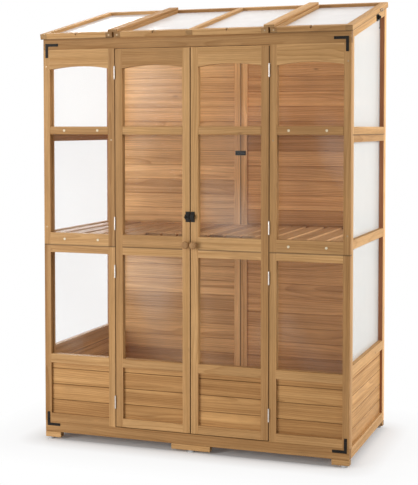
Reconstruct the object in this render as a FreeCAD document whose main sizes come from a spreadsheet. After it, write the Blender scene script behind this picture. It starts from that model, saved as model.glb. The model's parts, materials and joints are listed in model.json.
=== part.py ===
"""Wooden greenhouse cabinet: framed panes over boards, double doors, shelves and roof vents.

X runs along the front, Y from the front to the back and Z up, in millimetres. The pieces are laid out
with Y = 0 on the front face of the cabinet, and every node is then moved so that the origin is
the centre of the underside of the whole.
"""
import math
import os
import re

import FreeCAD
import Part
import Sketcher

# Driving sizes
SIZES = {
    # Cabinet and framing
    "cabinet_width": 1286.0,
    "cabinet_depth": 660.0,
    "frame_thickness": 28.0,
    "side_thickness": 24.0,
    "panel_width": 317.5,
    "stile_width": 28.0,
    "lower_frame_height": 735.0,
    "upper_frame_height": 797.0,
    "top_rail_height": 45.0,
    "skirt_height": 44.0,
    "bottom_rail_height": 34.0,
    "board_zone_height": 212.0,
    "board_rail_height": 36.0,
    "narrow_rail_height": 31.0,
    "mid_rail_height": 50.0,
    "upper_shelf_height": 1294.0,
    "shelf_rail_height": 32.0,
    "arch_rail_height": 79.0,
    "arch_rise": 12.0,
    # Panes and boards in their grooves
    "groove_depth": 8.0,
    "groove_clearance": 0.2,
    "pane_thickness": 4.0,
    "pane_setback": 18.0,
    "board_thickness": 12.0,
    "board_setback": 10.0,
    "board_pitch": 65.0,
    "board_bevel": 2.0,
    "tongue_width": 4.0,
    "tongue_length": 4.0,
    # Side walls
    "side_stile_width": 18.0,
    "side_upper_rail_height": 31.0,
    "side_lower_rail_height": 28.0,
    "side_mid_rail_height": 36.0,
    "side_board_zone_height": 276.0,
    "side_bottom_rail_height": 40.0,
    "side_top_rail_height": 30.0,
    # Back wall
    "back_stile_width": 30.0,
    "back_rail_height": 50.0,
    "back_bottom_rail_height": 60.0,
    "joining_plate_width": 48.0,
    "joining_plate_height": 20.0,
    "joining_plate_thickness": 2.5,
    "joining_plate_high": 1177.0,
    "joining_plate_low": 200.0,
    # Feet
    "glide_height": 8.0,
    "glide_radius": 13.0,
    "glide_edge": 22.0,
    "foot_height": 22.0,
    "foot_width": 70.0,
    "foot_thickness": 28.0,
    "centre_foot_width": 165.0,
    # Shelves and floor
    "bearer_width": 20.0,
    "bearer_height": 20.0,
    "slat_width": 58.0,
    "slat_gap": 9.0,
    "slat_thickness": 12.0,
    "side_shelf_edge": 243.0,
    "centre_shelf_setback": 118.0,
    # Doors
    "hinge_gap": 3.0,
    "meeting_gap": 4.0,
    "door_clearance": 3.0,
    "door_thickness": 26.0,
    "door_stile_width": 31.0,
    "knob_drop": 111.5,
    "knob_offset": 16.5,
    "knob_radius": 15.0,
    "knob_half_length": 9.0,
    "knob_projection": 26.0,
    "knob_neck_radius": 7.0,
    "knob_foot_radius": 9.5,
    "knob_foot_height": 3.0,
    # Latch
    "latch_height": 938.5,
    "latch_plate_width": 17.0,
    "latch_plate_height": 41.0,
    "latch_plate_thickness": 2.0,
    "latch_block_height": 19.0,
    "latch_depth": 13.0,
    "bolt_radius": 4.0,
    "bolt_travel": 10.0,
    "bolt_handle_radius": 2.0,
    "bolt_handle_reach": 6.0,
    "bolt_tip_radius": 3.0,
    "bolt_rest_gap": 0.5,
    "keeper_clearance": 0.5,
    # Hinges
    "hinge_length": 52.0,
    "hinge_leaf_width": 22.0,
    "leaf_thickness": 1.2,
    "knuckle_radius": 3.0,
    "knuckle_gap": 0.5,
    "knuckle_standoff": 0.2,
    "pin_radius": 1.5,
    "running_clearance": 0.05,
    "tab_clearance": 0.5,
    "hinge_first_height": 177.0,
    "hinge_second_height": 710.0,
    "hinge_third_height": 904.0,
    "hinge_fourth_height": 1509.0,
    "vent_hinge_spread": 180.0,
    # Roof
    "roof_pitch": 12.8,
    "roof_thickness": 22.0,
    "roof_stile_width": 28.0,
    "roof_rail_width": 32.0,
    "roof_pane_height": 6.0,
    "roof_side_overhang": 7.0,
    "roof_front_overhang": 10.0,
    "roof_seam_offset": 326.0,
    "roof_seam_gap": 8.0,
    "batten_width": 44.0,
    "batten_thickness": 11.0,
    "drain_width": 5.0,
    "drain_depth": 8.0,
    # Roof hooks
    "hook_place": 477.0,
    "hook_plate_width": 36.0,
    "hook_plate_thickness": 3.0,
    "hook_boss_radius": 10.0,
    "hook_boss_length": 6.0,
    "hook_pin_radius": 3.0,
    "hook_disc_radius": 6.0,
    "hook_disc_thickness": 3.0,
    "hook_side_play": 0.3,
    "hook_head_height": 2.0,
    "hook_arm_length": 46.0,
    "hook_arm_radius": 1.5,
    "hook_tip_length": 9.0,
    "eye_place": 504.0,
    "eye_ring_radius": 5.0,
    "eye_wire_radius": 1.5,
    "eye_standoff": 0.5,
    # Brackets and screws
    "bracket_leg": 57.0,
    "bracket_width": 11.0,
    "bracket_thickness": 2.0,
    "bracket_edge": 10.0,
    "bracket_overlap": 18.0,
    "bracket_rise": 25.0,
    "bracket_screw_near": 26.0,
    "bracket_screw_far": 49.0,
    "screw_radius": 1.9,
    "screw_clearance": 0.1,
    "screw_head_radius": 3.2,
    "screw_head_height": 1.2,
    "cap_radius": 5.0,
    "cap_height": 2.0,
    "cap_near": 93.0,
    "cap_far": 242.0,
    "post_screw_edge": 12.0,
    "post_screw_low": 882.0,
    "post_screw_high": 1538.0,
    "stile_screw_height": 1240.0,
    # Extra length of a cutting shape past the face it cuts
    "cut_margin": 1.0,
}

# Places that follow from the driving sizes
PLACES = {
    "half": "cabinet_width / 2",
    "inner_half": "half - side_thickness",
    "panel_inner": "half - panel_width",
    "panel_glass_low": "panel_inner + stile_width",
    "panel_glass_high": "half - stile_width",
    "door_outer": "panel_inner - hinge_gap",
    "door_inner": "meeting_gap / 2",
    "door_glass_low": "door_inner + door_stile_width",
    "door_glass_high": "door_outer - door_stile_width",
    "foot_top": "glide_height + foot_height",
    "skirt_top": "foot_top + skirt_height",
    "seam": "skirt_top + lower_frame_height",
    "panel_top": "seam + upper_frame_height",
    "eave": "panel_top + top_rail_height",
    "panel_board_low": "skirt_top + bottom_rail_height",
    "board_rail_low": "panel_board_low + board_zone_height",
    "board_rail_high": "board_rail_low + board_rail_height",
    "narrow_low": "seam - narrow_rail_height",
    "mid_high": "seam + mid_rail_height",
    "shelf_rail_low": "upper_shelf_height - shelf_rail_height",
    "arch_low": "panel_top - arch_rail_height",
    "arch_crown": "arch_low + arch_rise",
    "door_low": "skirt_top + door_clearance",
    "door_high": "panel_top - door_clearance",
    "door_board_low": "door_low + bottom_rail_height",
    "back_inner": "cabinet_depth - frame_thickness",
    "side_seam_height": "shelf_rail_low",
    "side_mid_rail_low": "mid_high - slat_thickness - bearer_height",
    "side_glass_front": "frame_thickness + side_stile_width",
    "side_glass_back": "back_inner - side_stile_width",
    "side_board_low": "foot_top + side_bottom_rail_height",
    "side_board_rail_low": "side_board_low + side_board_zone_height",
    "side_board_rail_high": "side_board_rail_low + board_rail_height",
    "side_mid_high": "side_mid_rail_low + side_mid_rail_height",
    "side_lower_rail_low": "side_seam_height - side_lower_rail_height",
    "side_upper_rail_high": "side_seam_height + side_upper_rail_height",
    "back_board_low": "foot_top + back_bottom_rail_height",
    "back_rail_low": "eave + back_inner * tan(roof_pitch) - back_rail_height",
    "back_eave": "eave + cabinet_depth * tan(roof_pitch)",
    "above_roof": "back_eave + roof_thickness",
    "roof_end": "cabinet_depth / cos(roof_pitch)",
    "centre_roof_edge": "roof_seam_offset - roof_seam_gap / 2",
    "vent_inner": "roof_seam_offset + roof_seam_gap / 2",
    "vent_outer": "half + roof_side_overhang",
    "knuckle_reach": "knuckle_radius + knuckle_standoff",
    "knuckle_length": "(hinge_length - 2 * knuckle_gap) / 3",
    "front_offset": "(knob_projection - cabinet_depth - 2 * knuckle_radius - knuckle_standoff) / 2",
    "knob_height": "latch_height - knob_drop",
    "bolt_line": "-(latch_depth + latch_plate_thickness) / 2",
    "latch_left": "door_inner + latch_plate_width",
    "hook_depth": "hook_place * cos(roof_pitch) + side_top_rail_height / 2 * sin(roof_pitch)",
    "hook_height": "eave + hook_place * sin(roof_pitch) - side_top_rail_height / 2 * cos(roof_pitch)",
    "hook_plate_face": "half + hook_plate_thickness",
    "hook_boss_face": "hook_plate_face + hook_boss_length",
    "hook_disc_face": "hook_boss_face + hook_side_play",
    "hook_pin_end": "hook_disc_face + hook_disc_thickness + hook_side_play",
    "eye_ring_line": "vent_outer + eye_ring_radius + eye_wire_radius + eye_standoff",
}

WORD = re.compile(r"[a-z][a-z_0-9]*")
SIDES = ("left", "right")
TURN = {
    "x": FreeCAD.Rotation(FreeCAD.Vector(0, 1, 0), 90),
    "-x": FreeCAD.Rotation(FreeCAD.Vector(0, 1, 0), -90),
    "y": FreeCAD.Rotation(FreeCAD.Vector(1, 0, 0), -90),
    "-y": FreeCAD.Rotation(FreeCAD.Vector(1, 0, 0), 90),
    "z": FreeCAD.Rotation(),
    "-z": FreeCAD.Rotation(FreeCAD.Vector(1, 0, 0), 180),
}
CYCLE = FreeCAD.Rotation(FreeCAD.Vector(1, 1, 1), 120)
FLIP = FreeCAD.Rotation(FreeCAD.Vector(0, 1, 0), 180)
ORIGIN = FreeCAD.Vector(0, 0, 0)

doc = FreeCAD.newDocument("greenhouse")
sheet = doc.addObject("Spreadsheet::Sheet", "Sizes")
for row, (alias, size) in enumerate(SIZES.items(), 1):
    sheet.set(f"A{row}", alias)
    sheet.set(f"B{row}", str(size))
    sheet.setAlias(f"B{row}", alias)
doc.recompute()
nodes = []


def bind(text):
    """Write a size formula in terms of the sheet's cells."""
    def swap(match):
        word = match.group()
        if word in PLACES:
            return f"({bind(PLACES[word])})"
        return f"Sizes.{word}" if word in SIZES else word
    return WORD.sub(swap, text)


def span(low, high):
    return f"({high}) - ({low})"


def across(side, low, high):
    """Turn a distance range from the centre line into an X range on one side."""
    return (low, high) if side == "right" else (f"-({high})", f"-({low})")


def along(side, place):
    return place if side == "right" else f"-({place})"


def widen(limits, margin):
    low, high = limits
    return f"({low}) - ({margin})", f"({high}) + ({margin})"


def put(item, x="0", y="0", z="0", turn=None):
    """Bind the place of an object, turned by a fixed rotation."""
    if turn is not None:
        item.Placement = FreeCAD.Placement(ORIGIN, turn)
    for axis, place in zip("xyz", (x, y, z)):
        item.setExpression(f"Placement.Base.{axis}", bind(place))
    return item


def bar(name, x, y, z):
    """A straight stick or plate between three pairs of limits."""
    item = doc.addObject("Part::Box", name)
    for size, limits in zip(("Length", "Width", "Height"), (x, y, z)):
        item.setExpression(size, bind(span(*limits)))
    return put(item, x[0], y[0], z[0])


def rod(name, radius, start, axis, length):
    """A round piece from a start point along one axis."""
    item = doc.addObject("Part::Cylinder", name)
    item.setExpression("Radius", bind(radius))
    item.setExpression("Height", bind(length))
    return put(item, *start, turn=TURN[axis])


def cut(name, base, tool):
    item = doc.addObject("Part::Cut", name)
    item.Base = base
    item.Tool = tool
    return item


def common(name, base, tool):
    item = doc.addObject("Part::Common", name)
    item.Base = base
    item.Tool = tool
    return item


def fuse(name, pieces):
    item = doc.addObject("Part::MultiFuse", name)
    item.Shapes = pieces
    return item


def bundle(name, pieces):
    item = doc.addObject("Part::Compound", name)
    item.Links = pieces
    return item


def tilted(name, pieces):
    """Pieces laid out on the roof's underside, Y up the slope and Z square to it, set at the eave."""
    item = put(bundle(name, pieces), z="eave", turn=FreeCAD.Rotation(FreeCAD.Vector(1, 0, 0), 1))
    item.setExpression("Placement.Rotation.Angle", bind("roof_pitch"))
    return item


def copy_of(name, master, x, y, z, turn):
    item = doc.addObject("App::Link", name)
    item.LinkedObject = master
    return put(item, x, y, z, turn)


def node(label, pieces):
    """Name a sub-part and move it from the front face to the shared origin."""
    item = put(bundle(label, pieces), y="front_offset")
    item.Label = label
    nodes.append(item)
    return item


def profile(name, points, turn):
    """A closed outline whose corners are bound to the sheet."""
    sketch = doc.addObject("Sketcher::SketchObject", name)
    sketch.Placement = FreeCAD.Placement(ORIGIN, turn)
    count = len(points)
    for index in range(count):
        angle = 2 * math.pi * index / count
        following = 2 * math.pi * (index + 1) / count
        sketch.addGeometry(Part.LineSegment(
            FreeCAD.Vector(math.cos(angle), math.sin(angle), 0),
            FreeCAD.Vector(math.cos(following), math.sin(following), 0)), False)
    for index, point in enumerate(points):
        sketch.addConstraint(Sketcher.Constraint("Coincident", index, 2, (index + 1) % count, 1))
        for kind, place in zip(("DistanceX", "DistanceY"), point):
            rule = sketch.addConstraint(Sketcher.Constraint(kind, index, 1, 1.0))
            sketch.setExpression(f"Constraints[{rule}]", bind(place))
    return sketch


def extruded(name, sketch, direction, length, x="0", y="0", z="0"):
    item = doc.addObject("Part::Extrusion", name)
    item.Base = sketch
    item.DirMode = "Custom"
    item.Dir = direction
    item.Solid = True
    item.setExpression("LengthFwd", bind(length))
    return put(item, x, y, z)


# Tongue-and-groove board section, with bevelled edges on both faces
face = "board_thickness / 2"
flat = "(board_thickness / 2 - board_bevel)"
tongue = "tongue_width / 2"
slot = "(tongue_width / 2 + groove_clearance)"
slot_top = "tongue_length + groove_clearance"
right_edge = [
    (slot, slot_top), (slot, "0"), (flat, "0"), (face, "board_bevel"),
    (face, "board_pitch - board_bevel"), (flat, "board_pitch"), (tongue, "board_pitch"),
    (tongue, "board_pitch + tongue_length"),
]
BOARD_OUTLINE = right_edge + [(f"-{place}", height) for place, height in reversed(right_edge)]
BOARD_SECTION = {
    "x": profile("board_section_across", BOARD_OUTLINE, CYCLE),
    "y": profile("board_section_deep", BOARD_OUTLINE, TURN["-y"]),
}
RUN = {"x": FreeCAD.Vector(1, 0, 0), "y": FreeCAD.Vector(0, 1, 0)}


def board_count(zone):
    """Boards that fill a zone and reach into the groove above it."""
    reach = zone + 2 * (SIZES["groove_depth"] - SIZES["groove_clearance"])
    return math.ceil((reach - SIZES["groove_depth"] / 2) / SIZES["board_pitch"])


def boards(name, run, limits, centre, zone_low, zone_high, zone):
    """A stack of boards between two rails, the top one ripped to the groove above."""
    reach = "groove_depth - groove_clearance"
    low, high = widen(limits, reach)
    bottom, top = widen((zone_low, zone_high), reach)
    thick = (f"({centre}) - board_thickness", f"({centre}) + board_thickness")
    stack = []
    count = board_count(zone)
    for index in range(count):
        height = f"{bottom} + {index} * board_pitch"
        place = (low, centre, height) if run == "x" else (centre, low, height)
        board = extruded(f"{name}_{index}", BOARD_SECTION[run], RUN[run], span(low, high), *place)
        if index == count - 1:
            flat_limits = ((low, high), thick) if run == "x" else (thick, (low, high))
            room = bar(f"{name}_room", *flat_limits, (bottom, top))
            board = common(f"{name}_ripped", board, room)
        stack.append(board)
    return stack


def board_slot(name, run, limits, centre, zone):
    """The grooves that hold a stack of boards."""
    half_width = "board_thickness / 2 + groove_clearance"
    deep = (f"({centre}) - ({half_width})", f"({centre}) + ({half_width})")
    wide = widen(limits, "groove_depth")
    flat_limits = (wide, deep) if run == "x" else (deep, wide)
    return bar(name, *flat_limits, widen(zone, "groove_depth"))


def pane_and_slot(name, wide, deep, tall):
    """A pane across X and the grooves around it."""
    reach = "groove_depth - groove_clearance"
    pane = bar(f"{name}_pane", widen(wide, reach), deep, widen(tall, reach))
    room = bar(f"{name}_slot", widen(wide, "groove_depth"), widen(deep, "groove_clearance"),
               widen(tall, "groove_depth"))
    return pane, room


def grooved(sticks, slots):
    """Cut the pane and board grooves out of the sticks of one frame."""
    return [cut(f"{stick.Name}_grooved", stick, slots) for stick in sticks]


def arched(name, x, deep, low, high):
    """A rail whose lower edge is a shallow arch."""
    rail = bar(f"{name}_blank", x, deep, (low, high))
    chord = f"({span(*x)})"
    radius = f"({chord}^2 / 4 + arch_rise^2) / (2 * arch_rise)"
    middle = f"(({x[0]}) + ({x[1]})) / 2"
    start = (middle, f"({deep[0]}) - cut_margin", f"{low} + arch_rise - {radius}")
    return cut(name, rail, rod(f"{name}_arch", radius, start, "y", f"{span(*deep)} + 2 * cut_margin"))


def spread(name, x, y, z, width_now):
    """Slats of one width spread evenly over a range of X."""
    count = int((width_now + SIZES["slat_gap"]) // (SIZES["slat_width"] + SIZES["slat_gap"]))
    pitch = f"(({span(*x)}) - slat_width) / {count - 1}"
    lows = [f"({x[0]}) + {index} * {pitch}" for index in range(count)]
    return [bar(f"{name}_{index}", (low, f"{low} + slat_width"), y, z) for index, low in enumerate(lows)]


roof_space = tilted("roof_space", [bar(
    "roof_block", ("-cabinet_width", "cabinet_width"), ("-cabinet_depth", "2 * cabinet_depth"),
    ("0", "cabinet_depth"))])

# Front rails that run the full width
front = ("0", "frame_thickness")
whole = ("-half", "half")
top_blank = bar("top_blank", whole, front, ("panel_top", "above_roof"))
node("front_top_rail", [cut("top_rail", top_blank, roof_space)])
node("front_skirt_rail", [bar("skirt_rail", whole, front, ("foot_top", "skirt_top"))])

# Fixed front panels: a lower and an upper frame, three panes and boards
front_pane = ("pane_setback", "pane_setback + pane_thickness")
front_board = "board_setback + board_thickness / 2"
windows = [("board_rail_high", "narrow_low"), ("mid_high", "shelf_rail_low"),
           ("upper_shelf_height", "arch_crown")]
front_boards = []
front_panes = []
for side in SIDES:
    name = f"{side}_panel"
    opening = across(side, "panel_glass_low", "panel_glass_high")
    zone = ("panel_board_low", "board_rail_low")
    fittings = [pane_and_slot(f"{name}_{index}", opening, front_pane, tall)
                for index, tall in enumerate(windows)]
    slots = bundle(f"{name}_slots", [room for pane, room in fittings]
                   + [board_slot(f"{name}_board_slot", "x", opening, front_board, zone)])
    front_panes += [pane for pane, room in fittings]
    front_boards += boards(f"{name}_board", "x", opening, front_board, *zone, SIZES["board_zone_height"])
    stiles = []
    for place, limits in (("outer", ("panel_glass_high", "half")),
                          ("inner", ("panel_inner", "panel_glass_low"))):
        for tier, tall in (("lower", ("skirt_top", "seam")), ("upper", ("seam", "panel_top"))):
            stiles.append(bar(f"{name}_{tier}_{place}_stile", across(side, *limits), front, tall))
    rails = [bar(f"{name}_{rail}_rail", opening, front, tall) for rail, tall in (
        ("bottom", ("skirt_top", "panel_board_low")), ("board", ("board_rail_low", "board_rail_high")),
        ("narrow", ("narrow_low", "seam")), ("mid", ("seam", "mid_high")),
        ("shelf", ("shelf_rail_low", "upper_shelf_height")))]
    rails.append(arched(f"{name}_arched_rail", opening, front, "arch_low", "panel_top"))
    node(f"{side}_front_stiles", grooved(stiles, slots))
    node(f"{side}_front_rails", grooved(rails, slots))
node("front_panel_boards", front_boards)
node("front_panel_panes", front_panes)

# Side walls: a lower and an upper frame, the top rail and the pane under it following the roof
side_boards = []
side_panes = []
for side in SIDES:
    name = f"{side}_side"
    thick = across(side, "inner_half", "half")
    deep = ("side_glass_front", "side_glass_back")
    pane_x = across(side, "half - pane_setback - pane_thickness", "half - pane_setback")
    slot_x = widen(pane_x, "groove_clearance")
    board_x = along(side, "half - board_setback - board_thickness / 2")
    zone = ("side_board_low", "side_board_rail_low")
    reach = "groove_depth - groove_clearance"
    rooms = [board_slot(f"{name}_board_slot", "y", deep, board_x, zone)]
    for index, tall in enumerate((("side_board_rail_high", "side_mid_rail_low"),
                                  ("side_mid_high", "side_lower_rail_low"))):
        side_panes.append(bar(f"{name}_{index}_pane", pane_x, widen(deep, reach), widen(tall, reach)))
        rooms.append(bar(f"{name}_{index}_slot", slot_x, widen(deep, "groove_depth"),
                         widen(tall, "groove_depth")))
    for kind, limits, margin, store in (("pane", pane_x, reach, side_panes),
                                        ("slot", slot_x, "groove_depth", rooms)):
        low = f"side_upper_rail_high - ({margin})"
        blank = bar(f"{name}_top_{kind}_blank", limits, widen(deep, margin), (low, "above_roof"))
        over = tilted(f"{name}_over_{kind}", [bar(
            f"{name}_over_{kind}_block", ("-cabinet_width", "cabinet_width"),
            ("-cabinet_depth", "2 * cabinet_depth"),
            (f"({margin}) - side_top_rail_height", "cabinet_depth"))])
        store.append(cut(f"{name}_top_{kind}", blank, over))
    slots = bundle(f"{name}_slots", rooms)
    side_boards += boards(f"{name}_board", "y", deep, board_x, *zone, SIZES["side_board_zone_height"])
    stiles = []
    for place, limits in (("front", ("frame_thickness", "side_glass_front")),
                          ("back", ("side_glass_back", "back_inner"))):
        stiles.append(bar(f"{name}_lower_{place}_stile", thick, limits, ("foot_top", "side_seam_height")))
        blank = bar(f"{name}_{place}_blank", thick, limits, ("side_seam_height", "above_roof"))
        stiles.append(cut(f"{name}_upper_{place}_stile", blank, roof_space))
    rails = [bar(f"{name}_{rail}_rail", thick, deep, tall) for rail, tall in (
        ("bottom", ("foot_top", "side_board_low")),
        ("board", ("side_board_rail_low", "side_board_rail_high")),
        ("mid", ("side_mid_rail_low", "side_mid_high")),
        ("lower", ("side_lower_rail_low", "side_seam_height")),
        ("upper", ("side_seam_height", "side_upper_rail_high")))]
    slope = tilted(f"{name}_slope", [bar(
        f"{name}_slope_blank", thick, ("-cabinet_depth", "2 * cabinet_depth"),
        ("-side_top_rail_height", "0"))])
    top_room = bar(f"{name}_top_room", thick, deep, ("eave / 2", "above_roof"))
    rails.append(common(f"{name}_top_rail", slope, top_room))
    node(f"{side}_side_stiles", grooved(stiles, slots))
    node(f"{side}_side_rails", grooved(rails, slots))
node("side_boards", side_boards)
node("side_panes", side_panes)

# Back wall: two board panels that meet at the centre line
back = ("back_inner", "cabinet_depth")
back_board = "cabinet_depth - frame_thickness / 2"
pitch_now = math.radians(SIZES["roof_pitch"])
back_zone_now = (SIZES["skirt_height"] + SIZES["lower_frame_height"] + SIZES["upper_frame_height"]
                 + SIZES["top_rail_height"] - SIZES["back_rail_height"] - SIZES["back_bottom_rail_height"]
                 + (SIZES["cabinet_depth"] - SIZES["frame_thickness"]) * math.tan(pitch_now))
back_stiles = []
back_rails = []
back_boards = []
for side in SIDES:
    name = f"{side}_back"
    opening = across(side, "back_stile_width", "half - back_stile_width")
    zone = ("back_board_low", "back_rail_low")
    slots = board_slot(f"{name}_slot", "x", opening, back_board, zone)
    stiles = []
    for place, limits in (("centre", ("0", "back_stile_width")),
                          ("outer", ("half - back_stile_width", "half"))):
        blank = bar(f"{name}_{place}_blank", across(side, *limits), back, ("foot_top", "above_roof"))
        stiles.append(cut(f"{name}_{place}_stile", blank, roof_space))
    blank = bar(f"{name}_top_blank", opening, back, ("back_rail_low", "above_roof"))
    rails = [cut(f"{name}_top_rail", blank, roof_space),
             bar(f"{name}_bottom_rail", opening, back, ("foot_top", "back_board_low"))]
    back_stiles += grooved(stiles, slots)
    back_rails += grooved(rails, slots)
    back_boards += boards(f"{name}_board", "x", opening, back_board, *zone, back_zone_now)
node("back_stiles", back_stiles)
node("back_rails", back_rails)
node("back_boards", back_boards)
node("back_joining_plates", [
    bar(f"joining_plate_{place}", ("-joining_plate_width / 2", "joining_plate_width / 2"),
        ("back_inner - joining_plate_thickness", "back_inner"),
        (f"{place} - joining_plate_height / 2", f"{place} + joining_plate_height / 2"))
    for place in ("joining_plate_high", "joining_plate_low")])

# Shelves: bearers under slats that run from front to back, set back in the centre
inside = ("-inner_half", "inner_half")
back_bearer = ("back_inner - bearer_width", "back_inner")
front_bearer = ("frame_thickness", "frame_thickness + bearer_width")
side_width_now = SIZES["cabinet_width"] / 2 - SIZES["side_thickness"] - SIZES["side_shelf_edge"]
centre_width_now = 2 * SIZES["side_shelf_edge"] - 2 * SIZES["slat_gap"]
for tier, top in (("upper", "upper_shelf_height"), ("middle", "mid_high")):
    name = f"{tier}_shelf"
    slat = (f"{top} - slat_thickness", top)
    under = (f"{top} - slat_thickness - bearer_height", f"{top} - slat_thickness")
    bearers = [
        bar(f"{name}_back_bearer", inside, back_bearer, under),
        bar(f"{name}_centre_bearer", ("-side_shelf_edge", "side_shelf_edge"),
            ("centre_shelf_setback", "centre_shelf_setback + bearer_width"), under)]
    slats = spread(f"{name}_centre_slat", ("slat_gap - side_shelf_edge", "side_shelf_edge - slat_gap"),
                   ("centre_shelf_setback", "back_inner"), slat, centre_width_now)
    for side in SIDES:
        wide = across(side, "side_shelf_edge", "inner_half")
        edge = across(side, "side_shelf_edge", "side_shelf_edge + bearer_width")
        bearers.append(bar(f"{name}_{side}_bearer", wide, front_bearer, under))
        bearers.append(bar(f"{name}_{side}_edge", edge, (front_bearer[1], back_bearer[0]), under))
        slats += spread(f"{name}_{side}_slat", wide, ("frame_thickness", "back_inner"), slat,
                        side_width_now)
    node(f"{name}_bearers", bearers)
    node(f"{name}_slats", slats)

# Slatted floor on two bearers at the top of the skirt
floor_bearer = ("skirt_top - bearer_height", "skirt_top")
floor_width_now = SIZES["cabinet_width"] - 2 * SIZES["side_thickness"]
node("floor_bearers", [
    bar("floor_front_bearer", inside, front_bearer, floor_bearer),
    bar("floor_back_bearer", inside, back_bearer, floor_bearer)])
node("floor_slats", spread("floor_slat", inside, ("frame_thickness", "back_inner"),
                           ("skirt_top", "skirt_top + slat_thickness"), floor_width_now))

# Feet and glides
feet = []
glides = []
for place, deep in (("front", ("0", "foot_thickness")),
                    ("back", ("cabinet_depth - foot_thickness", "cabinet_depth"))):
    centre = f"{deep[0]} + foot_thickness / 2"
    tall = ("glide_height", "foot_top")
    wide = ("-centre_foot_width / 2", "centre_foot_width / 2")
    feet.append(bar(f"{place}_centre_foot", wide, deep, tall))
    spots = [("centre", "0")]
    for side in SIDES:
        feet.append(bar(f"{place}_{side}_foot", across(side, "half - foot_width", "half"), deep, tall))
        spots.append((side, along(side, "half - glide_edge")))
    glides += [rod(f"{place}_{spot}_glide", "glide_radius", (x, centre, "0"), "z", "glide_height")
               for spot, x in spots]
node("feet", feet)
node("foot_glides", glides)

# Corner brackets on the front, and the screws in the front frames
screw = fuse("bracket_screw", [
    rod("bracket_screw_shank", "screw_radius", ("0", "0", "0"), "-y", "bracket_thickness"),
    rod("bracket_screw_head", "screw_head_radius", ("0", "-bracket_thickness", "0"), "-y",
        "screw_head_height")])
brackets = []
bracket_screws = []
screws = []
for side in SIDES:
    for place, corner, sign in (("top", "panel_top + bracket_rise", "-"),
                                ("bottom", "skirt_top - bracket_overlap", "+")):
        name = f"{side}_{place}_bracket"
        edge = "half - bracket_edge"

        def rise(near, far):
            """Heights at two distances from the bracket's corner."""
            ends = [f"{corner} {sign} ({near})", f"{corner} {sign} ({far})"]
            return tuple(ends if sign == "+" else reversed(ends))

        plate = ("-bracket_thickness", "0")
        legs = fuse(f"{name}_legs", [
            bar(f"{name}_level", across(side, f"{edge} - bracket_leg", edge), plate,
                rise("0", "bracket_width")),
            bar(f"{name}_upright", across(side, f"{edge} - bracket_width", edge), plate,
                rise("0", "bracket_leg"))])
        holes = []
        for reach in ("bracket_screw_near", "bracket_screw_far"):
            for x, height in ((f"{edge} - {reach}", "bracket_width / 2"),
                              (f"{edge} - bracket_width / 2", reach)):
                spot = (along(side, x), "0", f"{corner} {sign} ({height})")
                holes.append(rod(f"{name}_hole", "screw_radius + screw_clearance",
                                 (spot[0], "cut_margin", spot[2]), "-y",
                                 "bracket_thickness + 2 * cut_margin"))
                bracket_screws.append(copy_of(f"{name}_screw", screw, *spot, FreeCAD.Rotation()))
        brackets.append(cut(name, legs, bundle(f"{name}_holes", holes)))
    for x, height in (("half - post_screw_edge", "post_screw_low"),
                      ("half - post_screw_edge", "post_screw_high"),
                      ("panel_inner + stile_width / 2", "stile_screw_height")):
        screws.append(rod(f"{side}_post_screw", "screw_head_radius", (along(side, x), "0", height),
                          "-y", "screw_head_height"))
caps = [rod(f"{side}_cap", "cap_radius", (along(side, f"half - {x}"), "0", height), "-y", "cap_height")
        for side in SIDES for x in ("cap_near", "cap_far")
        for height in ("upper_shelf_height - shelf_rail_height / 2", "seam + mid_rail_height / 2")]
node("corner_brackets", brackets)
node("bracket_screws", bracket_screws)
node("shelf_screw_caps", caps)


# Hinges: one leaf carries the outer knuckles, the other the middle one, around a pin
def leaf(name, plate, knuckles, tab_low):
    """A hinge leaf along Z whose plate runs towards +Y."""
    clear = "knuckle_radius + 2 * knuckle_standoff"
    pieces = [bar(f"{name}_plate", plate, (clear, "hinge_leaf_width"),
                  ("-hinge_length / 2", "hinge_length / 2"))]
    for index, limits in enumerate(knuckles):
        pieces.append(bar(f"{name}_tab_{index}", plate, (tab_low, clear), limits))
        pieces.append(rod(f"{name}_knuckle_{index}", "knuckle_radius", ("0", "0", limits[0]), "z",
                          span(*limits)))
    bore = rod(f"{name}_bore", "pin_radius + running_clearance", ("0", "0", "-hinge_length"), "z",
               "2 * hinge_length")
    return cut(name, fuse(f"{name}_blank", pieces), bore)


middle_knuckle = [("-knuckle_length / 2", "knuckle_length / 2")]
outer_knuckles = [("-hinge_length / 2", "knuckle_length - hinge_length / 2"),
                  ("hinge_length / 2 - knuckle_length", "hinge_length / 2")]
door_tab = "pin_radius + tab_clearance"
panel_leaf = leaf("panel_leaf", ("hinge_gap / 2 - leaf_thickness", "hinge_gap / 2"), outer_knuckles,
                  door_tab)
door_leaf = leaf("door_leaf", ("-hinge_gap / 2", "leaf_thickness - hinge_gap / 2"), middle_knuckle,
                 door_tab)
wall_leaf = leaf("wall_leaf", ("knuckle_reach - leaf_thickness", "knuckle_reach"), outer_knuckles, "0")
vent_reach = "knuckle_reach * cos(roof_pitch)"
vent_leaf = leaf("vent_leaf", (f"-{vent_reach}", f"leaf_thickness - {vent_reach}"), middle_knuckle, "0")
fixed_leaves = []
pins = []
door_leaves = {}
vent_leaves = {}
hinge_heights = ("hinge_first_height", "hinge_second_height", "hinge_third_height", "hinge_fourth_height")
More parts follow.
